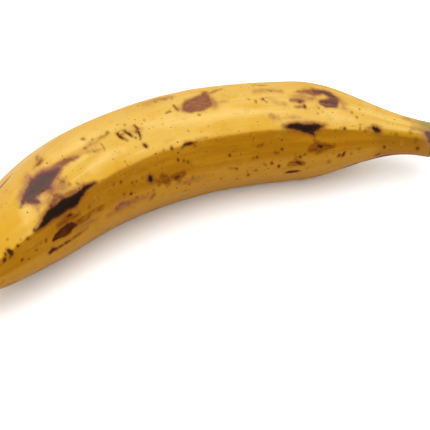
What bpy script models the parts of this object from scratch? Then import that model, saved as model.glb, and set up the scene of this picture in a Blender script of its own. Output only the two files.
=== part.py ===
"""A ripe plantain, picked and lying on its side on a table.

The fruit grew as one piece, so it is one closed solid: a bent, tapering body with soft faces and ridges, with a
short neck and a stalk stub cut square at one end, and a small dried blossom nub at the other.

Row frame, in metres: +X runs along the fruit towards the stalk, +Y towards the outer, convex side of its bend, and
+Z up. The origin is the middle of the bounding box's base, on the surface that the fruit rests on.
"""

import math

import bmesh
import bpy
import numpy as np

# Overall size.
ARC_LENGTH = 0.265  # along the centreline, from the blossom nub to the stalk's cut
BODY_RADIUS = 0.0253  # mean radius of the thickest section

# The centreline's bend, lying flat: straight from the nub, then two arcs. Headings are in degrees from +X.
TIP_HEADING = 34.0
MIDDLE_HEADING = -8.0  # where the tighter arc of the body meets the gentler one of the neck
STALK_HEADING = -35.0
BEND_START = 0.18  # share of the length where the first arc starts
BEND_MIDDLE = 0.62  # share of the length where the two arcs meet

# Mean radius along the fruit, in shares of BODY_RADIUS, with its places in shares of the length from the nub.
NUB_GIRTH = 0.15
STALK_GIRTH = 0.34
TAPER_LENGTH = 0.40  # length of the taper from the nub to the full body
TAPER_FULLNESS = 2.5  # higher makes the taper blunter
SLIMMING = 0.08  # how much slimmer the body has become where it meets the neck
SLIM_START = 0.45
SLIM_END = 0.84
SHOULDER_START = 0.75  # where the body starts to close in to the stalk
SHOULDER_END = 0.98

# The section's faces: (direction in degrees from the inner side, up over the top; distance from the centreline).
FACES = (
    (16.0, 0.95),
    (77.0, 0.94),
    (136.0, 0.97),
    (203.0, 0.90),
    (270.0, 0.93),
    (328.0, 0.94),
)
RIDGE_SHARPNESS = 11.0  # higher makes the ridges between the faces crisper
TIP_TWIST = -4.0  # degrees that the faces have turned at the nub
TWIST_FROM = 0.45  # share of the length where that turning starts
NECK_START = 0.78  # share of the length where the ridges begin to fade into the stalk
NECK_END = 0.92
NECK_ROUNDNESS = 0.75  # how far the stalk's section has become round
NUB_ROUND_TO = 0.06  # share of the length where the round nub has taken on the faces

# How it lies.
REST_GIRTH = 0.93  # the fruit rests along the stretch that is thicker than this share of BODY_RADIUS
REST_BLEND = 0.0006  # softness of the change from resting to lifted
FLAT_DEPTH = 0.0004  # how far the peel is pressed flat where it rests

# Ends.
EDGE_ROUND = 0.0012  # rounding of the nub's tip and of the stalk's cut edge
EDGE_STEPS = 3

# Mesh fineness.
TIP_RINGS = 10
BODY_RINGS = 34
NECK_RINGS = 16
RING_POINTS = 40

PEEL_COLOR = (0.80, 0.52, 0.09, 1.0)
PEEL_ROUGHNESS = 0.45


def ease(x, start, end):
    """0 before start, 1 after end, and smooth between them."""
    t = np.clip((x - start) / (end - start), 0.0, 1.0)
    return t * t * (3.0 - 2.0 * t)


def bend(share):
    """Heading of the centreline in degrees, at those shares of the length."""
    return np.interp(share, (BEND_START, BEND_MIDDLE, 1.0), (TIP_HEADING, MIDDLE_HEADING, STALK_HEADING))


def girth(share):
    """Mean radius of the section as a share of BODY_RADIUS, at those shares of the length."""
    taper = 1.0 - np.clip(1.0 - share / TAPER_LENGTH, 0.0, 1.0) ** TAPER_FULLNESS
    body = np.hypot(taper, NUB_GIRTH * (1.0 - taper)) - SLIMMING * ease(share, SLIM_START, SLIM_END)
    return body + (STALK_GIRTH - body) * ease(share, SHOULDER_START, SHOULDER_END)


def face_section(angle):
    """Distance from the centreline to the faceted section's skin, for a mean radius of 1."""

    def raw(a):
        reach = sum(
            np.maximum(np.cos(a - math.radians(direction)) / distance, 0.0) ** RIDGE_SHARPNESS
            for direction, distance in FACES
        )
        return reach ** (-1.0 / RIDGE_SHARPNESS)

    full_turn = np.linspace(0.0, 2.0 * math.pi, 360, endpoint=False)
    return raw(angle) / np.mean(raw(full_turn))


def ring_shares():
    """Places of the rings along the fruit, closer together at the nub and on the neck."""
    tip = np.linspace(0.0, NUB_ROUND_TO, TIP_RINGS, endpoint=False)
    body = np.linspace(NUB_ROUND_TO, NECK_START, BODY_RINGS, endpoint=False)
    neck = np.linspace(NECK_START, 1.0, NECK_RINGS)
    return np.concatenate([tip, body, neck])


def centreline(share):
    """Points of the centreline on a level plane, and its heading in radians, at those shares of the length."""
    fine = np.linspace(0.0, 1.0, 801)
    heading = np.radians(bend(fine))
    step = ARC_LENGTH / (len(fine) - 1)
    steps_x = 0.5 * (np.cos(heading[1:]) + np.cos(heading[:-1])) * step
    steps_y = 0.5 * (np.sin(heading[1:]) + np.sin(heading[:-1])) * step
    along_x = np.concatenate([[0.0], np.cumsum(steps_x)])
    along_y = np.concatenate([[0.0], np.cumsum(steps_y)])
    x = np.interp(share, fine, along_x)
    y = np.interp(share, fine, along_y)
    return x, y, np.interp(share, fine, heading)


def ring_heights(radius):
    """Height of the centreline: the thick stretch rests on its lower face, and the ends stay level with it."""
    reach_down = float(face_section(math.radians(270.0)))
    resting = radius * reach_down
    lifted = REST_GIRTH * BODY_RADIUS * reach_down
    difference = resting - lifted
    return lifted + 0.5 * (difference + np.sqrt(difference**2 + REST_BLEND**2)) - FLAT_DEPTH


def body_rings():
    """Ring points of the whole fruit, as an array of ring, point and coordinate."""
    share = ring_shares()
    radius = girth(share) * BODY_RADIUS
    x, y, heading = centreline(share)
    z = ring_heights(radius)
    angle = np.linspace(0.0, 2.0 * math.pi, RING_POINTS, endpoint=False)
    roundness = NECK_ROUNDNESS * ease(share, NECK_START, NECK_END) + 1.0 - ease(share, 0.0, NUB_ROUND_TO)
    section = face_section(angle)[None, :] * (1.0 - roundness[:, None]) + roundness[:, None]
    twist = math.radians(TIP_TWIST) * np.clip((TWIST_FROM - share) / TWIST_FROM, 0.0, 1.0)
    turned = angle[None, :] + twist[:, None]
    reach = radius[:, None] * section
    inward = reach * np.cos(turned)
    upward = reach * np.sin(turned)
    points = np.empty((len(share), RING_POINTS, 3))
    points[..., 0] = x[:, None] + inward * np.sin(heading)[:, None]
    points[..., 1] = y[:, None] - inward * np.cos(heading)[:, None]
    points[..., 2] = z[:, None] + upward
    return points


def rounded_end(ring, direction):
    """Rings that carry on from an end ring and round its edge over, EDGE_ROUND deep, towards `direction`."""
    centre = ring.mean(axis=0)
    spokes = ring - centre
    radius = np.linalg.norm(spokes, axis=1, keepdims=True)
    rings = []
    for step in range(1, EDGE_STEPS + 1):
        turn = 0.5 * math.pi * step / EDGE_STEPS
        inset = EDGE_ROUND * (1.0 - math.cos(turn))
        forward = EDGE_ROUND * math.sin(turn)
        rings.append(centre + spokes * (1.0 - inset / radius) + direction * forward)
    return np.array(rings)


def end_direction(rings, outermost, next_one):
    """Unit vector that points out of the fruit at one end."""
    direction = rings[outermost].mean(axis=0) - rings[next_one].mean(axis=0)
    return direction / np.linalg.norm(direction)


def fruit_rings():
    """All the rings, nub to stalk, with both ends rounded over, set on the ground and centred on the origin."""
    body = body_rings()
    nub = rounded_end(body[0], end_direction(body, 0, 1))[::-1]
    stalk = rounded_end(body[-1], end_direction(body, -1, -2))
    rings = np.concatenate([nub, body, stalk])
    rings[..., 2] = np.maximum(rings[..., 2], 0.0)
    low = rings.min(axis=(0, 1))
    high = rings.max(axis=(0, 1))
    rings[..., :2] -= 0.5 * (low + high)[:2]
    return rings


def build_mesh(rings):
    """Closed mesh over the rings, with a flat cap at the nub and another at the stalk's cut."""
    bm = bmesh.new()
    loops = [[bm.verts.new(point) for point in ring] for ring in rings]
    for near, far in zip(loops, loops[1:]):
        for k in range(RING_POINTS):
            after = (k + 1) % RING_POINTS
            bm.faces.new((near[k], near[after], far[after], far[k]))
    bm.faces.new(loops[0])
    bm.faces.new(loops[-1])
    bmesh.ops.recalc_face_normals(bm, faces=bm.faces)
    mesh = bpy.data.meshes.new("plantain")
    bm.to_mesh(mesh)
    bm.free()
    mesh.shade_smooth()
    mesh.set_sharp_from_angle(angle=math.radians(50.0))
    return mesh


def peel_material():
    """Waxy yellow peel."""
    material = bpy.data.materials.new("peel")
    material.use_nodes = True
    shader = material.node_tree.nodes["Principled BSDF"]
    shader.inputs["Base Color"].default_value = PEEL_COLOR
    shader.inputs["Roughness"].default_value = PEEL_ROUGHNESS
    shader.inputs["Metallic"].default_value = 0.0
    return material


def clear_scene():
    for leftover in list(bpy.data.objects):
        bpy.data.objects.remove(leftover)


def main():
    clear_scene()
    mesh = build_mesh(fruit_rings())
    mesh.materials.append(peel_material())
    fruit = bpy.data.objects.new("plantain", mesh)
    bpy.context.scene.collection.objects.link(fruit)


main()
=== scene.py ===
"""A ripe plantain lying on its side in a plain studio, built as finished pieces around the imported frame.

Row frame, in metres: +X along the fruit towards its stalk, +Y towards the outer side of its bend, +Z up.
Three pieces stand for the fruit: its peel, the cut face of its stalk and the dried blossom nub.
A place on the peel is a share of the length from the nub, and an angle in degrees around the section: from
the inner side of the bend (0) up over the top (90) to the outer side (180) and under the fruit (270, or -90).
"""

import math
import random

import bpy
import numpy as np
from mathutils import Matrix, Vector, noise


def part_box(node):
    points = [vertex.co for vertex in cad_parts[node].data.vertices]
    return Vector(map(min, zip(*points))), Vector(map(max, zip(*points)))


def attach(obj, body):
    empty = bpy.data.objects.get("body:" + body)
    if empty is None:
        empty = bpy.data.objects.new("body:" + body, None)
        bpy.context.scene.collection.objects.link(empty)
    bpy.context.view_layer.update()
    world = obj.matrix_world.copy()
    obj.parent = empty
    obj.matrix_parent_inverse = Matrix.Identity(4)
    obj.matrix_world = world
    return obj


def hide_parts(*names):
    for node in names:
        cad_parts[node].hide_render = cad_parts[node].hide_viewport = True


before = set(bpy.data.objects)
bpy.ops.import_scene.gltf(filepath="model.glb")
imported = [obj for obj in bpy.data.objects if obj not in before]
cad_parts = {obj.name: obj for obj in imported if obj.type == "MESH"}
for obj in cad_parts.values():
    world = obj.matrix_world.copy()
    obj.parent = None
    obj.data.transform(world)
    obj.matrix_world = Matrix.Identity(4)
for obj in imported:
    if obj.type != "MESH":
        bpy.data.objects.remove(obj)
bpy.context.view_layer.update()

bl_info = {
    "name": "Plantain",
    "version": (1, 0, 0),
    "blender": (4, 5, 0),
    "location": "3D View > Sidebar > Plantain",
    "description": "Builds a ripe plantain with its peel, stalk cut and blossom nub, in a plain studio",
    "category": "Object",
}

NODE = "plantain"
BODY = "root"
LOW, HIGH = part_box(NODE)
SPAN = HIGH - LOW
MM = 0.001

# The bend, lying flat: straight from the nub, then two arcs. Headings are in degrees from +X.
TIP_HEADING = 34.0
MIDDLE_HEADING = -8.0  # where the tighter arc of the body meets the gentler one of the neck
STALK_HEADING = -35.0
BEND_START = 0.18  # share of the length where the first arc starts
BEND_MIDDLE = 0.62  # share of the length where the two arcs meet
# Mean radius along the fruit, in shares of the body radius. Places are shares of the length from the nub.
NUB_GIRTH = 0.15
STALK_GIRTH = 0.34
TAPER_LENGTH = 0.40  # length of the taper from the nub to the full body
TAPER_FULLNESS = 2.5  # higher makes the taper blunter
SLIMMING = 0.08  # how much slimmer the body has become where it meets the neck
SLIM_START = 0.45
SLIM_END = 0.84
SHOULDER_START = 0.75  # where the body starts to close in to the stalk
SHOULDER_END = 0.98
# The section's faces: (direction in degrees, distance from the centreline).
FACES = ((16.0, 0.95), (77.0, 0.94), (136.0, 0.97), (203.0, 0.90), (270.0, 0.93), (328.0, 0.94))
RIDGE_SHARPNESS = 13.0
TIP_TWIST = -4.0
TWIST_FROM = 0.45
NECK_START = 0.78
NECK_END = 0.92
NECK_ROUNDNESS = 0.75
NUB_ROUND_TO = 0.06
REST_GIRTH = 0.93
REST_BLEND = 0.6 * MM
FLAT_DEPTH = 0.4 * MM
EDGE_ROUND = 1.2 * MM

# Mesh fineness of the peel.
BODY_RINGS = 500
EDGE_RINGS = 6
CAP_RINGS = 5
RING_POINTS = 180
SEAM_ANGLE = -90.0  # degrees: the mesh and its maps open under the fruit
CAP_MAP_SHARE = 0.02  # strip of the map that is kept for the two end discs
NUB_SINK = 0.2 * MM  # how far the peel closes inwards under the blossom nub
CUT_SINK = 0.5 * MM  # and under the stalk's cut face

# The cut face: (share of the rim's radius, lift in mm) around its edge, then rings across the face.
CUT_EDGE = ((0.05, -0.9), (0.5, -0.9), (0.97, -0.9), (1.0, -0.5), (0.99, -0.1))
CUT_RINGS = 22
# The blossom nub: (how far out from the tip, radius), in mm.
NUB_PROFILE = (
    (-5.2, 0.6), (-5.0, 2.5), (-4.6, 3.9), (-3.4, 4.35), (-1.6, 4.3), (0.0, 4.15), (1.0, 3.7),
    (1.8, 2.9), (2.4, 2.6), (3.1, 2.75), (3.6, 2.3), (3.9, 1.4), (3.8, 0.4),
)
NUB_RINGS = 60

# The studio, measured from the middle of the fruit.
TABLE_HALF = 2.5
LIGHT_OFFSET = Vector((-0.05, 0.02, 0.95))
LIGHT_SIZE = 1.1
AIM_OFFSET = Vector((0.0055, -0.0305, 0.020 - 0.5 * SPAN.z))

# Marks on the peel, by kind: places along the fruit in thousandths of its length, angles in degrees, and half
# widths in tenths of a millimetre. A stroke of the brush runs through its points, and a spot is one touch.
STROKES = {
    "tan": (
        ((197, 50, 8), (203, 58, 12), (210, 66, 11), (214, 72, 8)),
        ((222, 58, 14), (236, 60, 24), (244, 68, 22)), ((248, 60, 26), (262, 65, 46), (276, 66, 26)),
        ((262, 74, 16), (274, 77, 16)), ((206, 89, 14), (220, 93, 24), (236, 97, 26), (242, 103, 12)),
        ((248, 94, 12), (268, 91, 14), (290, 87, 13), (318, 83, 20), (340, 80, 14)),
        ((256, 101, 9), (268, 103, 14), (278, 104, 9)),
        ((338, 80, 9), (350, 77, 14), (362, 75, 12), (376, 76, 3)),
        ((340, 83, 8), (356, 84, 11), (376, 85, 7), (396, 86, 3)),
        ((424, 80, 16), (438, 78, 22), (450, 76, 14)), ((486, 106, 10), (505, 106, 18), (533, 105, 10)),
        ((530, 86, 8), (545, 88, 20)), ((596, 92, 18), (602, 86, 22), (597, 80, 12)),
        ((600, 86, 10), (622, 87, 8)), ((676, 96, 8), (700, 96, 14), (725, 95, 8)),
        ((700, 86, 10), (712, 80, 16), (726, 76, 10)),
        ((738, 88, 8), (758, 87, 22), (776, 86, 24), (786, 88, 10)),
        ((826, 91, 14), (838, 86, 18), (836, 79, 12), (849, 73, 6)),
        ((698, 62, 10), (705, 58, 17), (713, 56, 13)), ((722, 57, 6), (738, 58, 10), (752, 57, 5)),
        ((252, 10, 10), (275, 12, 16), (300, 8, 12)),
        ((325, 4, 12), (355, 5, 24), (390, 4, 22), (430, 2, 12)), ((480, 4, 8), (515, 2, 16), (560, 1, 8)),
        ((184, 48, 6), (200, 51, 14), (262, 53, 22), (300, 51, 10)),
        ((716, 49, 5), (760, 52, 14), (800, 48, 7)), ((947, 100, 10), (955, 104, 12)),
        ((966, 66, 9), (984, 68, 12)),
    ),
    # Pale patches: partly pale skin, partly a painted soft highlight along the upper faces.
    "pale_and_sheen": (
        ((178, 60, 15), (194, 70, 34), (200, 80, 14)), ((226, 70, 10), (234, 66, 18)),
        ((330, 60, 20), (370, 64, 30), (400, 62, 16)),
        ((470, 78, 20), (520, 74, 36), (570, 68, 36), (630, 72, 30), (670, 68, 14)),
        ((795, 66, 20), (820, 64, 32), (850, 60, 16)), ((335, 92, 12), (350, 90, 14)),
    ),
    "olive": (
        ((291, 56, 5), (293, 54, 5)), ((352, 94.5, 8), (355, 92.5, 8)),
        ((378, 87, 3), (390, 86, 4), (397, 88.5, 9)), ((374, 80, 4), (375, 76, 3), (373, 71, 5)),
        ((423, 84.5, 5), (427, 82, 5)), ((444, 67, 6), (442, 65, 5)), ((447, 83, 5), (449, 77, 5)),
        ((510, 85, 6), (518, 86, 9)), ((332, 45, 5), (340, 45, 4)),
        ((592, 97, 6), (598, 98.5, 4), (605, 100.5, 8), (612, 102, 4), (622, 103.5, 4)),
        ((675, 105, 2), (690, 104.5, 6), (702, 104, 3)), ((270, 30, 5), (271, 26, 4)),
    ),
    "brown": (
        ((253, 19, 17), (265, 20, 15), (282, 18, 12), (292, 18, 7)),
        ((200, 3, 7), (240, 4, 8), (276, 6.5, 4)),
        ((262, 21.5, 16), (280, 20, 12), (300, 18.5, 8), (316, 18, 11), (323, 18, 6)),
        ((460, 19, 14), (464, 15, 22), (468, 10, 23)), ((482, 13, 15), (491, 12, 24), (502, 12.5, 22)),
        ((443, 17, 8), (455, 12, 10), (449, 10, 8)), ((348, 6.5, 9), (354, 5.5, 8)),
        ((369, 7.5, 8), (376, 6.5, 7)), ((424, -4, 5), (430, -1.5, 9), (437, 0.5, 7)),
        ((768, 19, 14), (784, 21, 30), (800, 20, 26), (816, 21, 12)), ((667, 27.5, 6), (676, 29.5, 6)),
        ((698, 19, 6), (705, 17, 8)), ((603, 6, 3), (612, 4.5, 5), (620, 3.5, 7)), ((676, 6, 5), (680, 3, 5)),
        ((729, 1, 10), (742, 2, 19), (756, 1, 15)), ((829, 4, 10), (833, 3.5, 6)),
        ((272, 76, 4), (274, 71, 5)), ((245, 62, 5), (250, 57, 8), (256, 54, 7)),
        ((262, 54, 4), (279, 53, 5)), ((244, 64, 6), (243, 73, 5)), ((272, 107, 4), (279, 111, 5)),
        ((265, 102, 6), (275, 103.5, 7)), ((300, 46, 14), (312, 46, 9), (326, 46, 5)),
        ((541, 45.5, 3), (566, 45.5, 2)), ((972, 34, 7), (974, 29, 8), (972, 24, 4)),
        ((961, 57, 4), (963, 52, 5)), ((979, 10, 5), (979, 5, 9), (979, 1, 5)),
        ((196, 125, 6), (210, 126, 13), (228, 128, 10), (238, 129, 3)),
        ((410, 83, 6), (414, 76, 9), (419, 72, 6)), ((443, 74, 6), (449, 78, 5)),
        ((220, 31, 12), (236, 32, 20), (252, 30, 18), (266, 28, 9)),
    ),
    "mauve": (
        ((547, 85.5, 17), (557, 87, 40), (572, 88, 46), (582, 90, 42), (588, 95, 24), (591, 101, 12)),
        ((752, 93.5, 4), (765, 94.5, 9), (778, 95.5, 14), (790, 96.5, 14)),
        ((739, 82, 7), (750, 82, 12), (757, 81, 14), (761, 80, 8)),
        ((226, 52, 6), (236, 55, 13), (246, 57, 14), (254, 53, 8)),
        ((280, 84, 22), (296, 83, 17), (313, 82, 12), (324, 81, 7)), ((356, 7.5, 9), (366, 7, 12)),
        ((748, 74, 4), (760, 72, 6)), ((246, 76, 12), (249, 70, 9)),
    ),
    "plum": (
        ((783, 98, 7), (799, 98, 13), (812, 95, 18), (819, 89, 24),
         (815, 83.5, 26), (803, 81, 24), (795, 81.5, 18)),
        ((258, 89, 12), (270, 86, 16), (283, 83, 14)),
    ),
    "bruise": (
        ((196, 81, 3), (208, 82, 16), (222, 81.5, 33), (240, 83, 43),
         (258, 83, 38), (274, 82.5, 23), (284, 82, 10)),
        ((212, 78, 18), (216, 72, 15), (219, 66, 4)), ((245, 76, 19), (249, 71, 8)),
        ((238, 90, 15), (239, 95, 5)), ((991, 60, 10), (998, 55, 24), (1004, 48, 32)),
    ),
    "maroon": (
        ((201, 16, 8), (212, 18.5, 20), (224, 19.5, 30), (236, 19.5, 30), (246, 20, 19), (253, 18.5, 10)),
        ((187, 4.5, 10), (193, 5.5, 12), (201, 3, 7)), ((206, 3, 6), (213, 2.5, 6)),
        ((221, 4, 5), (232, 4, 5)), ((242, 4.5, 4), (256, 5, 4)), ((124, 45, 11), (126, 40, 13)),
        ((187, 25, 4), (186, 22, 5)), ((244, 33.5, 6), (251, 33.5, 9), (255, 32, 4)),
        ((444.5, 57, 8), (445.5, 55, 9.5)), ((413, 83, 4), (411, 80, 6.5), (412, 76, 7.5), (415, 72.5, 6)),
        ((428, 83, 4), (427.5, 80, 6), (430.5, 76, 7.5), (431, 71.5, 6)), ((446, 83, 4), (448.5, 78, 4)),
        ((447, 74, 5), (445, 68.5, 6.5)), ((529, 93, 5), (530.5, 90, 7), (532, 86, 3)),
        ((512, 42.5, 3), (519, 44.5, 9), (528, 44.5, 9), (541, 44, 2)), ((517, 26, 5), (518, 24, 4)),
        ((487, 12, 7), (496, 11.5, 8)), ((762, 75, 4), (762, 71, 5)), ((745, 2.5, 8), (751, 1, 8)),
        ((787, 22, 9), (793, 21, 11)), ((839, 9, 4), (838, 4, 9), (836.5, 2, 6)),
        ((914, 8, 4), (915.5, 5, 7), (917, 2.5, 4)),
        ((721, -12, 5), (732, -12.5, 15), (743, -13, 11), (752, -13, 3)), ((108, -27, 6), (125, -30, 4)),
        ((172, -43, 6), (184, -41, 3)), ((903, -18, 7), (908, -14, 6)),
    ),
    "black": (
        ((180, 45, 2), (190, 45.5, 9), (205, 46, 18), (225, 46.3, 24), (250, 45.5, 25),
         (266, 44.5, 25), (280, 45.5, 16), (298, 46, 11), (308, 46, 6), (318, 46, 1)),
        ((721, 46.5, 2), (731, 46.5, 12), (745, 46, 17), (760, 45.5, 19),
         (775, 45.5, 17), (785, 46, 11), (794, 46.5, 2)),
        ((765, 43.5, 12), (771, 40.5, 10), (776, 37, 2)),
        ((892, 50, 8), (897, 47.5, 13), (902, 47, 9), (906, 46.5, 3)),
        ((432, 25, 7), (433, 21.5, 13.5), (434, 18.5, 10)),
    ),
}
SPOTS = {
    "olive": (
        (137, 59, 6), (151, 48, 4), (191, 79, 8), (202, 79, 6), (367, 87.5, 6), (347, 83, 8), (356, 75, 8),
        (419, 69, 8), (433, 88.5, 6), (427, 58, 5), (495, 73.5, 5), (476, 73.5, 4), (468, 86, 7),
        (535, 57, 6), (473, 105, 5), (503, 102.5, 6), (531, 103.5, 5), (393, 48.5, 5), (394, 44.5, 5),
        (374, 42.5, 5), (473, 45, 7), (417, 26, 9), (396, 21.5, 8), (467, 34, 6), (463, 28.5, 7),
        (435, 6.5, 8), (421, 6, 7), (526, 5.5, 11), (538, 4, 6), (565, 73, 8), (675, 83, 8), (694, 80.5, 7),
        (664, 86, 6), (705, 95, 7), (750, 71.5, 7), (744, 72, 4), (852, 72, 6), (861, 66.5, 7), (866, 54, 6),
        (866, 47.5, 8), (829, 46.5, 5), (817, 9, 6), (853, 4, 9), (868, 9.5, 8), (820, 42, 8), (653, 41.5, 6),
        (738, 40, 6), (690, 42.5, 4), (786, 64, 5), (795, 67, 5), (788, 71, 6), (505, 2, 6), (282, 34, 5),
        (740, 14, 7), (760, 14, 7), (726, 0, 8),
    ),
    "brown": (
        (466, 6.5, 10), (474, 13, 10), (494, 5.5, 10), (398, 6, 8), (777, 30, 8), (655, 14, 6), (743, 8.5, 7),
        (661, -2, 8), (642, -3, 6), (515, -1.5, 7), (809, -3, 9), (275, 67, 9), (249, 67, 11), (281, 61, 8),
        (519, 104.5, 6), (878, 44.5, 8), (883, 48.5, 7), (934, 42, 7), (538, 40.5, 5),
    ),
    "maroon": (
        (122, 36, 6), (112, 38, 9), (116, 44, 7), (160, 42, 8), (142, 44, 7), (177, 46, 7), (138, 20, 7),
        (167, 19, 5), (228.5, 54, 9), (291, 26, 5), (237, 74.5, 6), (420.5, 79, 4), (435, 68.5, 6),
        (441.5, 65, 4), (490.5, 43.5, 8), (353, 34, 5), (371, 32.5, 6), (370, 18, 6), (386, 14, 9),
        (394, 26, 5), (403, 24.5, 5), (498, 30.5, 8), (510, 28.5, 7), (459, 11.5, 7), (688, 84.5, 7),
        (755.5, 80.5, 6), (837, 45.5, 8), (608, 23, 7), (713.5, 22, 8), (663, 14.5, 8), (693, 5.5, 9),
        (707, 0, 8), (620, 3.8, 5), (751, 10, 8), (809.5, 22.5, 5), (829, 4.5, 6), (979, 5, 6), (584, -6, 5),
        (645, -8, 7), (505, -10, 5),
    ),
}
STROKE_REACH = 8.0  # mm: how far around a mark its depth is kept
SUNKEN_KINDS = ("black", "bruise", "plum", "mauve", "maroon")  # the dark marks, where the peel has sunk

# Hidden faces, where the marks are scattered.
SCATTER_SEED = 31
SCATTER_FROM, SCATTER_TO = 118.0, 318.0  # degrees
# Points of a scattered stroke: (place along it from -1 to 1, swell).
SCATTER_SHAPE = ((-1.0, 0.15), (-0.6, 0.65), (-0.15, 0.95), (0.35, 0.85), (0.75, 0.5), (1.0, 0.1))
# (kind, how many, half length, half width), in mm.
SCATTERED = (
    ("tan", 12, 10.0, 2.6),
    ("pale_and_sheen", 5, 14.0, 3.2),
    ("olive", 26, 1.2, 0.8),
    ("brown", 14, 3.6, 1.3),
    ("mauve", 4, 6.0, 2.4),
    ("plum", 4, 6.0, 1.8),
    ("bruise", 3, 8.0, 3.2),
    ("maroon", 30, 1.1, 0.65),
    ("black", 3, 9.0, 1.7),
)

# Shallow dents: (share, angle, half length in mm, half width in mm, depth in mm).
DENTS = (
    (0.335, -24.0, 13.0, 6.0, 0.55),
    (0.240, 83.0, 14.0, 7.0, 0.35),
    (0.575, 91.0, 9.0, 5.0, 0.25),
    (0.800, 90.0, 9.0, 6.0, 0.25),
    (0.620, 150.0, 16.0, 7.0, 0.45),
    (0.300, 205.0, 18.0, 8.0, 0.40),
    (0.700, 230.0, 14.0, 7.0, 0.35),
    (1.005, 100.0, 9.0, 7.0, 2.2),
)


def paint(name, description, colour):
    """A colour setting."""
    return bpy.props.FloatVectorProperty(
        name=name, description=description, default=colour, size=3, min=0.0, max=1.0, subtype="COLOR",
    )


class PeelSettings(bpy.types.PropertyGroup):
    """Sizes and colours of the peel."""

    arc_length: bpy.props.FloatProperty(
        name="Length", description="Length along the bend, from the blossom nub to the stalk's cut",
        default=SPAN.x * 1.0534, min=0.1, max=0.5, unit="LENGTH",
    )
    body_radius: bpy.props.FloatProperty(
        name="Radius", description="Mean radius of the thickest section",
        default=SPAN.z * 0.5103, min=0.01, max=0.05, unit="LENGTH",
    )
    unevenness: bpy.props.FloatProperty(
        name="Unevenness", description="How far the skin swells and dips between its ridges",
        default=0.32 * MM, min=0.0, max=2.0 * MM, unit="LENGTH",
    )
    bruise_depth: bpy.props.FloatProperty(
        name="Bruise depth", description="How far the bruised skin has sunk",
        default=0.16 * MM, min=0.0, max=1.0 * MM, unit="LENGTH",
    )
    # Painted light: the yellow is the colour of the lit upper faces, and its pale, whitish tint is partly a
    # painted sheen.
    yellow: paint("Yellow", "Ripe skin on the upper faces", (0.520, 0.330, 0.074))
    gold: paint("Gold", "Deeper skin between the pale patches and towards the tip", (0.470, 0.245, 0.014))
    # Painted shade: the next colour stands for the lower faces of the inner side lying in shade.
    shaded_amber: paint("Amber", "Skin on the shaded lower faces", (0.246, 0.095, 0.0006))
    bruise: paint("Bruise", "Purple-grey heart of a big bruise", (0.055, 0.040, 0.036))
    black: paint("Black", "Blackened skin along the ridges", (0.004, 0.003, 0.004))


class StudioSettings(bpy.types.PropertyGroup):
    """The table, the lights and the camera."""

    floor_colour: paint("Floor", "Colour of the table top", (0.90, 0.90, 0.90))
    overhead_power: bpy.props.FloatProperty(
        name="Overhead light", description="Power of the big soft light above the fruit",
        default=6.2, min=0.0, max=500.0, unit="POWER",
    )
    sky_strength: bpy.props.FloatProperty(
        name="Room light", description="Strength of the even light from all around",
        default=1.27, min=0.0, max=5.0,
    )
    azimuth: bpy.props.FloatProperty(
        name="Camera azimuth", description="Camera's turn around the fruit, 0 in front of its inner side",
        default=math.radians(-21.43), subtype="ANGLE", unit="ROTATION",
    )
    elevation: bpy.props.FloatProperty(
        name="Camera elevation", description="Camera's height above the level, as an angle",
        default=math.radians(46.0), subtype="ANGLE", unit="ROTATION",
    )
    distance: bpy.props.FloatProperty(
        name="Camera distance", description="From the camera to the point that it looks at",
        default=0.5435, min=0.1, max=5.0, unit="LENGTH",
    )
    lens: bpy.props.FloatProperty(
        name="Camera lens", description="Focal length of the camera", default=100.0, min=10.0, max=300.0,
        unit="CAMERA",
    )


# --------------------------------------------------------------------------------------------------
# Shape


def smooth_curve(points, at):
    """Values at places `at` on a smooth curve through (place, value) points that doesn't overshoot them."""
    place, value = np.array(points, float).T
    step = np.diff(place)
    slope = np.diff(value) / step
    tangent = np.empty_like(value)
    tangent[0] = slope[0]
    tangent[-1] = slope[-1]
    product = slope[:-1] * slope[1:]
    left_share = 2.0 * step[1:] + step[:-1]
    right_share = step[1:] + 2.0 * step[:-1]
    rising = product > 0.0
    safe_left = np.where(rising, slope[:-1], 1.0)
    safe_right = np.where(rising, slope[1:], 1.0)
    mean = (left_share + right_share) / (left_share / safe_left + right_share / safe_right)
    tangent[1:-1] = np.where(rising, mean, 0.0)
    k = np.clip(np.searchsorted(place, at, side="right") - 1, 0, len(step) - 1)
    t = (at - place[k]) / step[k]
    start = (1.0 + 2.0 * t) * (1.0 - t) ** 2 * value[k] + t * (1.0 - t) ** 2 * step[k] * tangent[k]
    end = t * t * (3.0 - 2.0 * t) * value[k + 1] + t * t * (t - 1.0) * step[k] * tangent[k + 1]
    return start + end


def ease(x, start, end):
    """0 before start, 1 after end, and smooth between them."""
    t = np.clip((x - start) / (end - start), 0.0, 1.0)
    return t * t * (3.0 - 2.0 * t)


def bend(share):
    """Heading of the centreline in degrees, at those shares of the length."""
    return np.interp(share, (BEND_START, BEND_MIDDLE, 1.0), (TIP_HEADING, MIDDLE_HEADING, STALK_HEADING))


def girth_at(share):
    """Mean radius of the section as a share of the body radius, at those shares of the length."""
    taper = 1.0 - np.clip(1.0 - share / TAPER_LENGTH, 0.0, 1.0) ** TAPER_FULLNESS
    body = np.hypot(taper, NUB_GIRTH * (1.0 - taper)) - SLIMMING * ease(share, SLIM_START, SLIM_END)
    return body + (STALK_GIRTH - body) * ease(share, SHOULDER_START, SHOULDER_END)


def face_section(angle):
    """Distance from the centreline to the faceted section's skin, for a mean radius of 1."""

    def raw(a):
        reach = sum(
            np.maximum(np.cos(a - math.radians(direction)) / distance, 0.0) ** RIDGE_SHARPNESS
            for direction, distance in FACES
        )
        return reach ** (-1.0 / RIDGE_SHARPNESS)

    full_turn = np.linspace(0.0, 2.0 * math.pi, 360, endpoint=False)
    return raw(angle) / np.mean(raw(full_turn))


def ridge_directions():
    """Directions in degrees where two faces meet, which is where the section stands out the most."""
    degrees = np.arange(0.0, 360.0, 0.5)
    reach = face_section(np.radians(degrees))
    return degrees[(reach > np.roll(reach, 1)) & (reach >= np.roll(reach, -1))]


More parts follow.
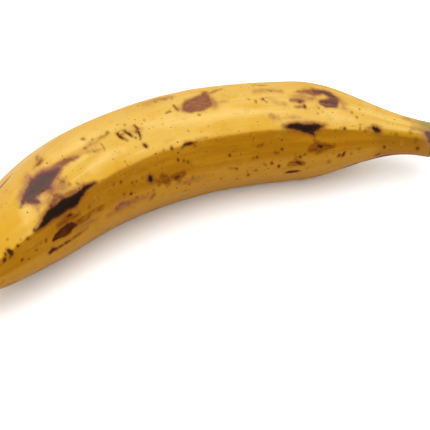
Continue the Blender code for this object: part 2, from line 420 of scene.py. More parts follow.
def centreline(share, arc_length):
    """The centreline's points on a level plane, and its heading in radians, at those shares of the length."""
    fine = np.linspace(0.0, 1.0, 801)
    heading = np.radians(bend(fine))
    step = arc_length / (len(fine) - 1)
    steps_x = 0.5 * (np.cos(heading[1:]) + np.cos(heading[:-1])) * step
    steps_y = 0.5 * (np.sin(heading[1:]) + np.sin(heading[:-1])) * step
    along_x = np.concatenate([[0.0], np.cumsum(steps_x)])
    along_y = np.concatenate([[0.0], np.cumsum(steps_y)])
    return np.interp(share, fine, along_x), np.interp(share, fine, along_y), np.interp(share, fine, heading)


def ring_heights(radius, body_radius):
    """Height of the centreline: the thick part rests on its lower face, and the ends stay level with it."""
    reach_down = float(face_section(math.radians(270.0)))
    lifted = REST_GIRTH * body_radius * reach_down
    difference = radius * reach_down - lifted
    return lifted + 0.5 * (difference + np.sqrt(difference**2 + REST_BLEND**2)) - FLAT_DEPTH


def angle_gap(angle, towards):
    """Difference between two directions in degrees, from -180 to 180."""
    return (angle - towards + 180.0) % 360.0 - 180.0


def lumps(points, size, seed):
    """Smooth noise from -1 to 1 at points in space, with lumps about `size` metres across."""
    shift = Vector((17.3, 5.9, 11.1)) * seed
    flat = points.reshape(-1, 3) / size
    values = np.array([noise.noise(Vector(p) + shift) for p in flat])
    return values.reshape(points.shape[:-1])


class Skin:
    """The fruit's skin as a grid of rings: where each point is, and how deep it lies in each kind of mark."""

    def __init__(self, settings):
        self.arc = settings.arc_length
        self.radius = settings.body_radius
        self.share = np.linspace(0.0, 1.0, BODY_RINGS)
        self.degrees = SEAM_ANGLE + np.linspace(0.0, 360.0, RING_POINTS, endpoint=False)
        self.offset = np.zeros(2)
        smooth = self.points(self.share, self.degrees)
        self.offset = -0.5 * (smooth.min(axis=(0, 1)) + smooth.max(axis=(0, 1)))[:2]
        self.offset += np.array([(LOW.x + HIGH.x) / 2.0, (LOW.y + HIGH.y) / 2.0])
        smooth = self.points(self.share, self.degrees)
        self.depths = self.mark_depths(smooth)
        relief = self.relief(smooth, settings)
        self.rings = self.points(self.share, self.degrees, relief)

    def points(self, share, degrees, lift=0.0):
        """Points of the skin at every share and angle, as an array of ring, point and coordinate."""
        angle = np.radians(degrees)
        radius = girth_at(share) * self.radius
        x, y, heading = centreline(share, self.arc)
        z = ring_heights(radius, self.radius)
        roundness = NECK_ROUNDNESS * ease(share, NECK_START, NECK_END) + 1.0 - ease(share, 0.0, NUB_ROUND_TO)
        section = face_section(angle)[None, :] * (1.0 - roundness[:, None]) + roundness[:, None]
        twist = math.radians(TIP_TWIST) * np.clip((TWIST_FROM - share) / TWIST_FROM, 0.0, 1.0)
        turned = angle[None, :] + twist[:, None]
        reach = radius[:, None] * section + lift
        inward = reach * np.cos(turned)
        grid = np.empty((len(share), len(degrees), 3))
        grid[..., 0] = x[:, None] + inward * np.sin(heading)[:, None] + self.offset[0]
        grid[..., 1] = y[:, None] - inward * np.cos(heading)[:, None] + self.offset[1]
        grid[..., 2] = np.maximum(z[:, None] + reach * np.sin(turned), 0.0) + LOW.z
        return grid

    def mark_depths(self, smooth):
        """How deep each point lies inside each kind of mark, in mm: above 0 inside, below 0 outside."""
        wander = 0.8
        along = self.share[:, None] * self.arc / MM + wander * lumps(smooth, 6.0 * MM, 1)
        degrees = np.broadcast_to(self.degrees[None, :], along.shape)
        local = girth_at(self.share)[:, None] * self.radius / MM
        around = wander * lumps(smooth, 6.0 * MM, 2)
        depths = {kind: np.full(along.shape, -STROKE_REACH) for kind in STROKES}
        for kind, strokes in all_strokes(self.arc / MM).items():
            for stroke in strokes:
                for start, end in zip(stroke, stroke[1:] or stroke):
                    start_x, end_x = start[0] * self.arc / MM, end[0] * self.arc / MM
                    px, py = along - start_x, angle_gap(degrees, start[1]) * math.pi / 180.0 * local + around
                    dx, dy = end_x - start_x, (end[1] - start[1]) * math.pi / 180.0 * local
                    t = np.clip((px * dx + py * dy) / np.maximum(dx * dx + dy * dy, 1e-9), 0.0, 1.0)
                    gap = np.hypot(px - t * dx, py - t * dy)
                    depths[kind] = np.maximum(depths[kind], start[2] + t * (end[2] - start[2]) - gap)
        return depths

    def relief(self, smooth, settings):
        """How far each point stands out from the smooth skin, in metres."""
        share = self.share[:, None]
        degrees = self.degrees[None, :]
        girth = girth_at(self.share)[:, None]
        uneven = settings.unevenness * (lumps(smooth, 30.0 * MM, 3) + 0.35 * lumps(smooth, 11.0 * MM, 4))
        lift = uneven * ease(girth, 0.2, 0.8) + 0.05 * MM * lumps(smooth, 3.5 * MM, 5)
        for at, angle, half_length, half_width, depth in DENTS:
            along = (share - at) * self.arc / (half_length * MM)
            around = np.radians(angle_gap(degrees, angle)) * girth * self.radius / (half_width * MM)
            lift = lift - depth * MM * np.exp(-1.5 * (along**2 + around**2))
        sunk = sum(ease(self.depths[kind], -0.6, 1.2) for kind in SUNKEN_KINDS)
        lift = lift - settings.bruise_depth * np.minimum(sunk, 1.0)
        # Ribs and wrinkles of the neck, which run along it.
        neck = ease(share, 0.84, 0.95) * np.ones_like(lift)
        ribs = sum(np.exp(-0.5 * (angle_gap(degrees, ridge) / 9.0) ** 2) for ridge in ridge_directions())
        ones = np.ones_like(lift)
        turn = np.radians(degrees)
        lengthwise = share * self.arc * ones / 9.0
        drawn = (lengthwise, self.radius * np.cos(turn) * ones, self.radius * np.sin(turn) * ones)
        wrinkles = lumps(np.stack(drawn, axis=-1), 3.2 * MM, 6)
        lift = lift + neck * (0.28 * MM * (ribs - 0.35) + 0.16 * MM * wrinkles)
        tip = 1.0 - ease(share, 0.0, 0.12)
        lift = lift + tip * 0.14 * MM * wrinkles
        return lift


def all_strokes(arc_mm):
    """The placed strokes and spots, and the scattered strokes, by kind: (share, angle, half width in mm)."""
    chance = random.Random(SCATTER_SEED)
    strokes = {}
    for kind, placed in STROKES.items():
        touches = [*placed, *((spot,) for spot in SPOTS.get(kind, ()))]
        strokes[kind] = [
            [(at / 1000.0, angle, width / 10.0) for at, angle, width in touch]
            for touch in touches
        ]
    for kind, count, half_length, half_width in SCATTERED:
        for _ in range(count):
            share = chance.uniform(0.09, 0.95)
            angle = chance.uniform(SCATTER_FROM, SCATTER_TO)
            reach = half_length * chance.uniform(0.55, 1.25) / arc_mm
            width = half_width * chance.uniform(0.6, 1.2)
            lean = chance.uniform(-4.0, 4.0)
            stroke = []
            for at, swell in SCATTER_SHAPE:
                aside = angle + lean * at + chance.uniform(-2.5, 2.5)
                stroke.append((share + reach * at, aside, width * swell * chance.uniform(0.7, 1.3)))
            strokes[kind].append(stroke)
    return strokes


def end_direction(rings, outermost, next_one):
    """Unit vector that points out of the fruit at one end."""
    direction = rings[outermost].mean(axis=0) - rings[next_one].mean(axis=0)
    return direction / np.linalg.norm(direction)


def closing_rings(ring, direction, edge_rings, cap_rings, sink):
    """Rings that round an end's edge over and then close in on its middle, sunk a little."""
    centre = ring.mean(axis=0)
    spokes = ring - centre
    radius = np.linalg.norm(spokes, axis=1, keepdims=True)
    rings = []
    for step in range(1, edge_rings + 1):
        turn = 0.5 * math.pi * step / edge_rings
        inset = EDGE_ROUND * (1.0 - math.cos(turn))
        rings.append(centre + spokes * (1.0 - inset / radius) + direction * EDGE_ROUND * math.sin(turn))
    rim = rings[-1] - centre - direction * EDGE_ROUND
    for step in range(1, cap_rings + 1):
        keep = 1.0 - 0.93 * step / cap_rings
        depth = EDGE_ROUND - sink * math.sin(0.5 * math.pi * step / cap_rings)
        rings.append(centre + rim * keep + direction * depth)
    return np.array(rings)


def ring_mesh(name, rings):
    """Closed mesh over a stack of rings with as many points each, in a face order that the maps follow."""
    count, around = rings.shape[:2]
    index = np.arange(count * around).reshape(count, around)
    near, far = index[:-1], index[1:]
    quads = np.stack([near, np.roll(near, -1, axis=1), np.roll(far, -1, axis=1), far], axis=-1).reshape(-1, 4)
    faces = quads.tolist() + [index[0][::-1].tolist(), index[-1].tolist()]
    mesh = bpy.data.meshes.new(name)
    mesh.from_pydata(rings.reshape(-1, 3).tolist(), [], faces)
    mesh.update()
    return mesh


def add_map(mesh, name, across, around, discs):
    """UV map over a ring mesh: `across` per ring, `around` per column and one more, then the end discs."""
    layer = mesh.uv_layers.new(name=name, do_init=False)
    u = np.asarray(across, float)
    v = np.asarray(around, float)
    rows, columns = len(u) - 1, len(v) - 1
    uv = np.empty((rows, columns, 4, 2))
    uv[..., 0, 0] = uv[..., 1, 0] = u[:-1, None]
    uv[..., 2, 0] = uv[..., 3, 0] = u[1:, None]
    uv[..., 0, 1] = uv[..., 3, 1] = v[None, :-1]
    uv[..., 1, 1] = uv[..., 2, 1] = v[None, 1:]
    turn = np.linspace(0.0, 2.0 * math.pi, columns, endpoint=False)
    (first_u, first_v, size), (last_u, last_v, _) = discs
    first = np.stack([first_u + size * np.cos(turn), first_v + size * np.sin(turn)], axis=-1)[::-1]
    last = np.stack([last_u + size * np.cos(turn), last_v + size * np.sin(turn)], axis=-1)
    flat = np.concatenate([uv.reshape(-1, 2), first, last])
    layer.data.foreach_set("uv", flat.ravel())


def bake_map(mesh, rings):
    """The map that a texture is laid out on: the length from left to right, the girth from bottom to top."""
    middle = rings.mean(axis=1)
    reach = np.linalg.norm(rings - middle[:, None], axis=-1).mean(axis=1)
    steps = np.hypot(np.linalg.norm(np.diff(middle, axis=0), axis=1), np.diff(reach))
    travelled = np.concatenate([[0.0], np.cumsum(steps)])
    across = CAP_MAP_SHARE + (1.0 - CAP_MAP_SHARE) * travelled / travelled[-1]
    around = np.linspace(0.0, 1.0, rings.shape[1] + 1)
    half = 0.5 * CAP_MAP_SHARE
    add_map(mesh, "OFBake", across, around, ((half, 0.25, 0.8 * half), (half, 0.75, 0.8 * half)))


def add_piece(name, rings, material):
    """Makes a piece of the fruit from its rings, with its finish, and gives its mesh."""
    mesh = ring_mesh(name, rings)
    bake_map(mesh, rings)
    mesh.shade_smooth()
    mesh.materials.append(material)
    piece = bpy.data.objects.new(name, mesh)
    bpy.context.scene.collection.objects.link(piece)
    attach(piece, BODY)
    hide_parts(NODE)
    return mesh


# --------------------------------------------------------------------------------------------------
# Finishes


class Flow:
    """A socket's value on its way through a material, so that shader maths reads as plain expressions."""

    def __init__(self, finish, socket):
        self.finish = finish
        self.socket = socket

    def maths(self, operation, *values):
        return self.finish.node("ShaderNodeMath", {"operation": operation}, dict(enumerate(values)))

    def __add__(self, other):
        return self.maths("ADD", self, other)

    __radd__ = __add__

    def __sub__(self, other):
        return self.maths("SUBTRACT", self, other)

    def __rsub__(self, other):
        return self.maths("SUBTRACT", other, self)

    def __mul__(self, other):
        return self.maths("MULTIPLY", self, other)

    __rmul__ = __mul__

    def __truediv__(self, other):
        return self.maths("DIVIDE", self, other)


class Finish:
    """A material being made."""

    def __init__(self, name, **shader):
        self.material = bpy.data.materials.new(name)
        self.material.use_nodes = True
        self.tree = self.material.node_tree
        self.shader = self.tree.nodes["Principled BSDF"]
        for socket, value in shader.items():
            self.shader.inputs[socket.replace("_", " ")].default_value = value

    def node(self, kind, settings=None, values=None, output=0):
        """Adds a node with its settings and its sockets' values or links, and gives one of its outputs."""
        node = self.tree.nodes.new(kind)
        for key, value in (settings or {}).items():
            setattr(node, key, value)
        for key, value in (values or {}).items():
            if isinstance(value, Flow):
                self.tree.links.new(value.socket, node.inputs[key])
            else:
                node.inputs[key].default_value = value
        return Flow(self, node.outputs[output])

    def step(self, value, low, high):
        """0 where value is under low, 1 where it is over high, smooth between; also the other way round."""
        if low > high:
            return 1.0 - self.step(value, high, low)
        return self.node(
            "ShaderNodeMapRange", {"interpolation_type": "SMOOTHSTEP"},
            {"Value": value, "From Min": low, "From Max": high},
        )

    def most(self, one, other):
        return self.node("ShaderNodeMath", {"operation": "MAXIMUM"}, {0: one, 1: other})

    def mix(self, share, under, over):
        """Colour `over` laid on colour `under`, by a share from 0 to 1."""
        under, over = (c if isinstance(c, Flow) else (*c[:3], 1.0) for c in (under, over))
        return self.node("ShaderNodeMix", {"data_type": "RGBA"}, {0: share, 6: under, 7: over}, output=2)

    def noise(self, place, size, detail=2.0, roughness=0.5):
        """Noise from 0 to 1 with lumps about `size` metres across."""
        return self.node(
            "ShaderNodeTexNoise", {"noise_dimensions": "3D"},
            {"Vector": place, "Scale": 1.0 / size, "Detail": detail, "Roughness": roughness},
        )

    def fibres(self, place, stretch, size, **more):
        """Noise drawn out along the first axis, for grain that runs along the fruit."""
        scale = (stretch, 1.0, 1.0)
        drawn = self.node("ShaderNodeVectorMath", {"operation": "MULTIPLY"}, {0: place, 1: scale})
        return self.noise(drawn, size, **more)

    def depth(self, kind):
        """How deep the skin lies in a kind of mark, in mm."""
        return self.node("ShaderNodeAttribute", {"attribute_name": kind + "_depth"}, output=2)

    def lay(self, colour, depth, fringe, core):
        """Lays a fringe and a core, each (from, to, strength, tone), and gives the core's cover too."""
        low, high, strength, tone = fringe
        colour = self.mix(self.step(depth, low, high) * strength, colour, tone)
        low, high, strength, tone = core
        cover = self.step(depth, low, high)
        return self.mix(cover * strength, colour, tone), cover

    def bump(self, strength, distance, height):
        """Fine relief of the skin."""
        values = {"Strength": strength, "Distance": distance, "Height": height}
        self.feed("Normal", self.node("ShaderNodeBump", values=values))

    def feed(self, socket, value):
        self.tree.links.new(value.socket, self.shader.inputs[socket])


def peel_finish(settings):
    """Ripe, waxy peel: golden on top with a painted sheen, darker orange-brown on the lower faces as painted
    shade, bruised, streaked black along its ridges, and speckled.
    """
    sheen = (1.0, 0.75, 0.25, 1.0)
    peel = Finish("ripe_peel", Roughness=0.46, IOR=1.4, Specular_IOR_Level=0.06, Specular_Tint=sheen)
    place = peel.node("ShaderNodeTexCoord", output=3)  # object coordinates
    surface = peel.node("ShaderNodeUVMap", {"uv_map": "surface"})
    along = peel.node("ShaderNodeSeparateXYZ", values={0: surface})
    around = Flow(peel, along.socket.node.outputs[1])
    share = along / settings.arc_length
    angle = around / (settings.body_radius * math.pi / 180.0)

    # Ground colour: gold and yellow in soft patches, painted shade in orange-brown under the ridges, browner
    # under the neck as more painted shade.
    broad = peel.noise(place, 38.0 * MM, detail=3.0, roughness=0.55)
    streaks = peel.fibres(surface, 0.07, 2.6 * MM, detail=3.0, roughness=0.6)
    mottle = peel.noise(place, 6.0 * MM, detail=4.0, roughness=0.65)
    grain = peel.noise(place, 1.4 * MM, detail=2.0)
    wavering = angle + 4.0 * (peel.noise(place, 9.0 * MM) - 0.5)
    bands = peel.fibres(surface, 0.10, 5.5 * MM, detail=4.0, roughness=0.6)
    patch = peel.step(broad + 0.5 * bands, 0.60, 0.95)
    tip = peel.step(share + 0.05 * (broad - 0.5), 0.22, 0.12)
    # Pale patches: partly pale skin, partly a painted soft highlight.
    pale_and_sheen = peel.step(peel.depth("pale_and_sheen") + 3.0 * (mottle - 0.5), -2.5, 3.0)
    # Painted shade: darker orange on the upper back faces up to the top outline, where the skin turns away;
    # the streaks in it are the skin's own.
    top_edge_shade = peel.step(wavering, 88.0, 106.0) * peel.step(wavering, 175.0, 150.0)
    shoulder = peel.step(wavering, 54.0, 45.0) * peel.step(share, 0.32, 0.38) * peel.step(share, 0.92, 0.86)
    smudge = peel.step(peel.fibres(surface, 0.45, 4.2 * MM, detail=5.0, roughness=0.72), 0.50, 0.72)
    # Painted shade: the lower faces of the inner side, under the ridge, where the darker shade colour is
    # laid.
    lower_shade = peel.step(wavering, 46.5, 42.0) * peel.step(wavering, -75.0, -55.0)
    neck = peel.step(share, 0.885, 0.915)
    shaded_amber = peel.mix(peel.step(bands, 0.56, 0.36) * 0.6, settings.shaded_amber, (0.33, 0.142, 0.003))
    # Painted shade: the lower faces turn darker still along the neck, where its bend turns them from the
    # light.
    shaded_amber = peel.mix(neck * 0.85, shaded_amber, (0.195, 0.073, 0.001))
    # Painted light: a paler tan band along the bottom of the inner side, for light bounced up from the table;
    # it fades on the neck.
    bounce_band = peel.step(wavering, 16.0, 4.0) * peel.step(wavering, -80.0, -60.0) * (1.0 - 0.7 * neck)
    neck_fold = neck * peel.step(angle, 34.0, 42.0) * peel.step(angle, 56.0, 48.0)
    towards_end = share + 0.03 * (mottle - 0.5) + 0.03 * (bands - 0.5) + 0.00025 * (angle - 60.0)
    end = peel.step(towards_end, 0.955, 1.0)
    ground = settings.yellow
    for cover, tone in (
        (patch * 0.75, settings.gold),
        # Pale streaks: partly the skin's own tone, partly a painted soft highlight.
        (peel.step(bands, 0.50, 0.30) * 0.45, (0.63, 0.43, 0.12)),
        (tip * 0.85, settings.gold),
        (pale_and_sheen * 0.6, (0.60, 0.41, 0.125)),
        (top_edge_shade * (0.30 + 0.4 * streaks), (0.46, 0.255, 0.052)),
        (shoulder * 0.5, (0.49, 0.25, 0.012)),
        (lower_shade * 0.96, shaded_amber),
        (bounce_band * 0.8, (0.335, 0.158, 0.016)),
        (lower_shade * smudge * 0.38, (0.19, 0.065, 0.008)),
        (neck_fold * 0.85, (0.34, 0.165, 0.003)),
        (peel.step(mottle, 0.50, 0.74) * 0.32, (0.36, 0.17, 0.02)),
        (peel.step(streaks, 0.52, 0.80) * 0.28, (0.33, 0.145, 0.008)),
        (end * (0.3 + 0.6 * peel.step(angle, 36.0, 62.0)), (0.215, 0.165, 0.050)),
    ):
        ground = peel.mix(cover, ground, tone)

    # Marks: the depth fields are roughened, then cut into a core and a fringe.
    rough_edge = 3.0 * (peel.noise(place, 2.6 * MM, detail=5.0, roughness=0.7) - 0.5)
    fine_edge = 0.7 * (peel.noise(place, 0.7 * MM, detail=2.0) - 0.5)
    edge = rough_edge + fine_edge
    inside = peel.fibres(surface, 0.35, 1.8 * MM, detail=4.0, roughness=0.7)
    mottled = peel.step(inside, 0.40, 0.68)
    soft_edge = 3.4 * (peel.noise(place, 4.0 * MM, detail=4.0, roughness=0.7) - 0.5)

    tan = peel.step(peel.depth("tan") + soft_edge, -1.6, 2.4) * (0.5 + 0.6 * peel.step(mottle, 0.34, 0.60))
    # Painted shade: tan marks take a darker tone on the shaded lower faces.
    tan_tone = peel.mix(lower_shade, (0.31, 0.145, 0.045), (0.205, 0.076, 0.020))
    colour = peel.mix(tan * 0.95, ground, tan_tone)
    olive = peel.step(peel.depth("olive") + fine_edge, -0.6, 0.6) * 0.72
    colour = peel.mix(olive, colour, (0.15, 0.075, 0.006))
    brown = peel.step(peel.depth("brown") + 0.5 * soft_edge + fine_edge, -1.2, 1.2) * (0.95 - 0.45 * mottled)
    colour = peel.mix(brown, colour, (0.125, 0.030, 0.002))

    mauve_depth = peel.depth("mauve") + 0.8 * edge
    tone = peel.mix(peel.step(mauve_depth, 1.6, 0.4) * 0.6, (0.168, 0.053, 0.032), (0.11, 0.038, 0.020))
    fringe = (-1.8, 0.4, 0.5, (0.27, 0.115, 0.035))
    colour, mauve = peel.lay(colour, mauve_depth, fringe, (-0.8, 1.1, 0.96 - 0.30 * mottled, tone))

    plum_depth = peel.depth("plum") + 0.4 * edge + 0.1
    fringe = (-1.8, 0.4, 0.5, (0.25, 0.10, 0.035))
    core = (-0.8, 1.0, 1.0 - 0.30 * mottled, (0.088, 0.031, 0.030))
    colour, plum = peel.lay(colour, plum_depth, fringe, core)

    bruise_depth = peel.depth("bruise") + edge
    tone = peel.mix(peel.step(bruise_depth, 2.6, 0.8) * 0.8, settings.bruise, (0.110, 0.038, 0.040))
    tone = peel.mix(mottled * 0.4, tone, (0.095, 0.055, 0.046))
    fringe = (-3.0, 0.3, 0.65, (0.25, 0.105, 0.060))
    colour, bruise = peel.lay(colour, bruise_depth, fringe, (-0.9, 0.9, 0.96, tone))

    maroon_depth = peel.depth("maroon") + fine_edge + 0.3 * rough_edge
    fringe = (-1.2, 0.2, 0.45, (0.16, 0.050, 0.004))
    core = (-0.35, 0.65, 0.98 - 0.12 * mottled, (0.036, 0.005, 0.001))
    colour, maroon = peel.lay(colour, maroon_depth, fringe, core)

    black_depth = peel.depth("black") + 0.5 * edge + 0.15
    heart = peel.step(black_depth - 0.6 * mottled, 0.0, 1.1)
    tone = peel.mix(heart, (0.034, 0.007, 0.002), settings.black)
    fringe = (-2.2, 0.0, 0.6, (0.13, 0.035, 0.010))
    colour, black = peel.lay(colour, black_depth, fringe, (-0.55, 0.65, 0.98, tone))

    # Specks: fine olive ones all over, coarser brown ones in clusters, both thicker on the lower faces.
    crowd = peel.noise(place, 16.0 * MM, detail=2.0)
    lower = peel.step(wavering, 52.0, 40.0) * peel.step(wavering, -80.0, -60.0)
    specks = None
    for cell, radius, rare, tone in ((1.9 * MM, 0.19, 0.66, 0.60), (5.0 * MM, 0.105, 0.62, 0.85)):
        warped = peel.node(
            "ShaderNodeVectorMath", {"operation": "MULTIPLY_ADD"},
            {0: peel.node("ShaderNodeTexNoise", values={"Vector": place, "Scale": 900.0}, output=1),
             1: (0.35 * MM,) * 3, 2: place},
        )
        cells = peel.node("ShaderNodeTexVoronoi", {"feature": "F1"}, {"Vector": warped, "Scale": 1.0 / cell})
        tint = Flow(peel, cells.socket.node.outputs[1])
        lot = peel.node("ShaderNodeSeparateColor", values={0: tint})
        lot_two = Flow(peel, lot.socket.node.outputs[1])
        chosen = peel.step(lot + 0.46 * lower + 0.9 * (crowd - 0.5), rare, rare + 0.04)
        reach = radius * (0.45 + 0.9 * lot_two)
        speck = peel.step((reach - cells) / reach, 0.0, 0.45) * chosen * tone
        specks = speck if specks is None else peel.most(specks, speck)
    colour = peel.mix(specks, colour, (0.085, 0.022, 0.003))

    # The peel dries and blackens towards the blossom nub and around the stalk's cut.
    dry_nub = peel.step(share + 0.03 * (mottle - 0.5), 0.045, 0.015)
    past_cut = along + 2.0 * MM * (mottle - 0.5) - settings.arc_length
    dry_end = peel.most(dry_nub, peel.step(past_cut, -0.2 * MM, 1.0 * MM))
    colour = peel.mix(dry_end * 0.95, colour, (0.035, 0.018, 0.010))
    peel.feed("Base Color", colour)

    dark = peel.most(peel.most(black, bruise), peel.most(peel.most(plum, mauve), maroon))
    roughness = 0.43 + 0.10 * (broad - 0.5) + 0.07 * streaks + 0.06 * grain + 0.10 * dark + 0.2 * dry_end
    peel.feed("Roughness", roughness)

    pores = peel.noise(place, 0.9 * MM, detail=2.0, roughness=0.6)
    height = 0.5 * streaks + 0.35 * pores + 0.3 * mottle - 0.5 * specks - 0.25 * dark + 0.4 * dark * grain
    peel.bump(0.55, 0.22 * MM, height)
    return peel.material


def cut_finish():
    """Dry, dark cut face of the stalk, with open fibres."""
    cut = Finish("stalk_fibre", Roughness=0.8)
    place = cut.node("ShaderNodeTexCoord", output=3)
    fibres = cut.node("ShaderNodeTexVoronoi", {"feature": "F1"}, {"Vector": place, "Scale": 1.0 / (0.9 * MM)})
    stain = cut.noise(place, 4.0 * MM, detail=4.0, roughness=0.65)
    colour = cut.mix(cut.step(stain, 0.35, 0.7), (0.075, 0.036, 0.016), (0.24, 0.145, 0.07))
    colour = cut.mix(cut.step(fibres, 0.28, 0.10) * 0.75, colour, (0.028, 0.014, 0.008))
    cut.feed("Base Color", colour)
    cut.feed("Roughness", 0.72 + 0.2 * stain)
    cut.bump(0.8, 0.3 * MM, fibres + 0.5 * stain)
    return cut.material


def nub_finish():
    """Matte, shrivelled remnant of the blossom."""
    nub = Finish("dry_blossom", Roughness=0.85)
    place = nub.node("ShaderNodeTexCoord", output=3)
    folds = nub.fibres(place, 0.35, 1.1 * MM, detail=4.0, roughness=0.65)
    dust = nub.noise(place, 2.6 * MM, detail=3.0, roughness=0.6)
    colour = nub.mix(nub.step(folds, 0.35, 0.75), (0.018, 0.011, 0.008), (0.085, 0.050, 0.028))
    colour = nub.mix(nub.step(dust, 0.56, 0.78) * 0.5, colour, (0.17, 0.115, 0.07))
    nub.feed("Base Color", colour)
    nub.feed("Roughness", 0.75 + 0.2 * folds)
    nub.bump(0.9, 0.35 * MM, folds)
    return nub.material


# --------------------------------------------------------------------------------------------------
# Pieces


class PLANTAIN_OT_peel(bpy.types.Operator):
    """Builds the whole skin of the fruit, with its ridges, dents, bruises and neck"""

    bl_idname = "plantain.peel"
    bl_label = "Peel"

    def execute(self, context):
        settings = context.scene.plantain_peel
        skin = Skin(settings)
        body = skin.rings
        nub = closing_rings(body[0], end_direction(body, 0, 1), EDGE_RINGS, CAP_RINGS, NUB_SINK)[::-1]
        stalk = closing_rings(body[-1], end_direction(body, -1, -2), EDGE_RINGS, CAP_RINGS, CUT_SINK)
        rings = np.concatenate([nub, body, stalk])
        rings[..., 2] = np.maximum(rings[..., 2], LOW.z)
        mesh = add_piece("peel", rings, peel_finish(settings))
        past = np.arange(1, EDGE_RINGS + CAP_RINGS + 1)
        rounded = np.minimum(past, EDGE_RINGS) / EDGE_RINGS * 1.6 * MM
        past = rounded + np.maximum(past - EDGE_RINGS, 0) * 0.5 * MM
        along = np.concatenate([-past[::-1], skin.share * skin.arc, skin.arc + past])
        degrees = SEAM_ANGLE + np.linspace(0.0, 360.0, RING_POINTS + 1)
        around = np.radians(degrees) * skin.radius
        add_map(mesh, "surface", along, around, [(end, 0.0, 0.1 * MM) for end in (along[0], along[-1])])
        extra = len(nub)
        for kind, depth in skin.depths.items():
            padded = np.pad(depth, ((extra, extra), (0, 0)), mode="edge")
            attribute = mesh.attributes.new(kind + "_depth", "FLOAT", "POINT")
            attribute.data.foreach_set("value", padded.astype(np.float32).ravel())
        return {"FINISHED"}


class PLANTAIN_OT_stalk_cut(bpy.types.Operator):
    """Builds the dry cut face at the stalk's end"""

    bl_idname = "plantain.stalk_cut"
    bl_label = "Stalk cut"

    def execute(self, context):
        skin = Skin(context.scene.plantain_peel)
        body = skin.rings
        direction = end_direction(body, -1, -2)
        rim = closing_rings(body[-1], direction, EDGE_RINGS, 1, 0.0)[EDGE_RINGS - 1]
        centre = rim.mean(axis=0)
        spokes = rim - centre
        rings = [centre + spokes * keep + direction * lift * MM for keep, lift in CUT_EDGE]
        for step in range(1, CUT_RINGS + 1):
            keep = 0.985 * (1.0 - step / CUT_RINGS) + 0.03
            dish = -0.45 * MM * (1.0 - keep**2)
            ring = centre + spokes * keep
            rough = lumps(ring, 1.1 * MM, 7) * 0.22 * MM + lumps(ring, 3.2 * MM, 8) * 0.25 * MM
            rings.append(ring + direction * (dish + rough)[:, None])
        add_piece("stalk_cut", np.array(rings), cut_finish())
        return {"FINISHED"}


class PLANTAIN_OT_blossom_nub(bpy.types.Operator):
    """Builds the shrivelled remnant of the blossom on the fruit's tip"""

    bl_idname = "plantain.blossom_nub"
    bl_label = "Blossom nub"

    def execute(self, context):
        skin = Skin(context.scene.plantain_peel)
        body = skin.rings
        direction = end_direction(body, 0, 1)
        tip = body[0].mean(axis=0)
        spokes = body[0] - tip
        spokes /= np.linalg.norm(spokes, axis=1, keepdims=True)
        place = np.linspace(0.0, 1.0, NUB_RINGS)
        outline = np.array(NUB_PROFILE)
        known = np.linspace(0.0, 1.0, len(NUB_PROFILE))
        forward = smooth_curve(tuple(zip(known, outline[:, 0])), place)
        radius = smooth_curve(tuple(zip(known, outline[:, 1])), place)
        turn = np.radians(skin.degrees)
        rings = []
        for out, reach in zip(forward, radius):
            ring = tip + spokes * reach * MM + direction * out * MM
            folds = 0.22 * np.cos(5.0 * turn + 0.35 * out) + 0.12 * np.cos(8.0 * turn - 0.6 * out)
            rough = lumps(ring, 1.5 * MM, 9) * 0.35 + lumps(ring, 0.6 * MM, 10) * 0.12
            swell = (folds * min(max(out + 2.0, 0.0) / 3.0, 1.0) + rough) * min(reach / 2.5, 1.0)
            rings.append(ring + spokes * (swell * MM)[:, None])
        rings = np.array(rings)
        rings[..., 2] = np.maximum(rings[..., 2], LOW.z)
        add_piece("blossom_nub", rings, nub_finish())
        return {"FINISHED"}


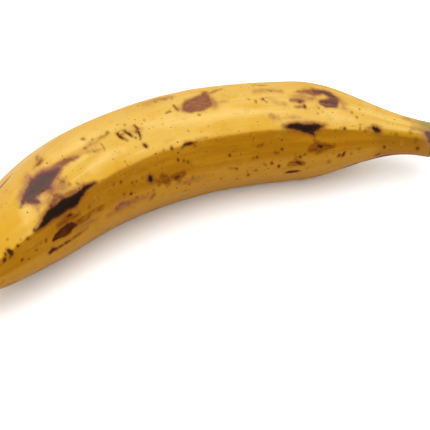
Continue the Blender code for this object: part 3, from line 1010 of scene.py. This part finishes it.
class PLANTAIN_OT_studio(bpy.types.Operator):
    """Sets up the pale table, the soft lights and the camera"""

    bl_idname = "plantain.studio"
    bl_label = "Studio"

    def execute(self, context):
        scene = context.scene
        settings = scene.plantain_studio
        middle = (LOW + HIGH) / 2.0

        mesh = bpy.data.meshes.new("table")
        corners = [(x * TABLE_HALF, y * TABLE_HALF, LOW.z) for x, y in ((-1, -1), (1, -1), (1, 1), (-1, 1))]
        mesh.from_pydata(corners, [], [(0, 1, 2, 3)])
        top = Finish("pale_table", Roughness=0.85)
        place = top.node("ShaderNodeTexCoord", output=3)
        cloud = top.noise(place, 0.4, detail=2.0)
        shade = tuple(0.985 * c for c in settings.floor_colour)
        top.feed("Base Color", top.mix(cloud, settings.floor_colour, shade))
        mesh.materials.append(top.material)
        table = bpy.data.objects.new("table", mesh)
        scene.collection.objects.link(table)

        world = bpy.data.worlds.new("room")
        world.use_nodes = True
        sky = world.node_tree.nodes["Background"].inputs
        sky["Color"].default_value = (1.0, 0.995, 0.985, 1.0)
        sky["Strength"].default_value = settings.sky_strength
        scene.world = world

        add_light("overhead", middle + LIGHT_OFFSET, middle, LIGHT_SIZE, settings.overhead_power)

        camera_data = bpy.data.cameras.new("camera")
        camera_data.lens = settings.lens
        camera_data.sensor_width = 36.0
        camera_data.clip_start = 0.01
        camera = bpy.data.objects.new("camera", camera_data)
        turn, rise = settings.azimuth, settings.elevation
        back = Vector((math.sin(turn) * math.cos(rise), -math.cos(turn) * math.cos(rise), math.sin(rise)))
        aim = middle + AIM_OFFSET
        camera.location = aim + back * settings.distance
        camera.rotation_euler = back.to_track_quat("Z", "Y").to_euler()
        scene.collection.objects.link(camera)
        scene.camera = camera

        scene.view_settings.view_transform = "Standard"
        scene.view_settings.look = "None"
        return {"FINISHED"}


def add_light(name, location, target, size, power):
    """Adds a square soft light that faces a target."""
    data = bpy.data.lights.new(name, "AREA")
    data.shape = "SQUARE"
    data.size = size
    data.energy = power
    light = bpy.data.objects.new(name, data)
    light.location = location
    light.rotation_euler = (Vector(location) - target).to_track_quat("Z", "Y").to_euler()
    bpy.context.scene.collection.objects.link(light)


class PLANTAIN_PT_panel(bpy.types.Panel):
    """The plantain's pieces and its studio"""

    bl_idname = "PLANTAIN_PT_panel"
    bl_label = "Plantain"
    bl_space_type = "VIEW_3D"
    bl_region_type = "UI"
    bl_category = "Plantain"

    def draw(self, context):
        scene = context.scene
        for group, title in ((scene.plantain_peel, "Peel"), (scene.plantain_studio, "Studio")):
            box = self.layout.box()
            box.label(text=title)
            for name in group.__annotations__:
                box.prop(group, name)
        for operator in OPERATORS:
            self.layout.operator(operator.bl_idname)


OPERATORS = (PLANTAIN_OT_peel, PLANTAIN_OT_stalk_cut, PLANTAIN_OT_blossom_nub, PLANTAIN_OT_studio)
CLASSES = (PeelSettings, StudioSettings, *OPERATORS, PLANTAIN_PT_panel)


def register():
    for kind in CLASSES:
        bpy.utils.register_class(kind)
    bpy.types.Scene.plantain_peel = bpy.props.PointerProperty(type=PeelSettings)
    bpy.types.Scene.plantain_studio = bpy.props.PointerProperty(type=StudioSettings)


def unregister():
    del bpy.types.Scene.plantain_studio
    del bpy.types.Scene.plantain_peel
    for kind in reversed(CLASSES):
        bpy.utils.unregister_class(kind)


def main():
    register()
    bpy.ops.plantain.peel()
    bpy.ops.plantain.stalk_cut()
    bpy.ops.plantain.blossom_nub()
    bpy.ops.plantain.studio()
    bpy.context.view_layer.update()


if __name__ == "__main__":
    main()
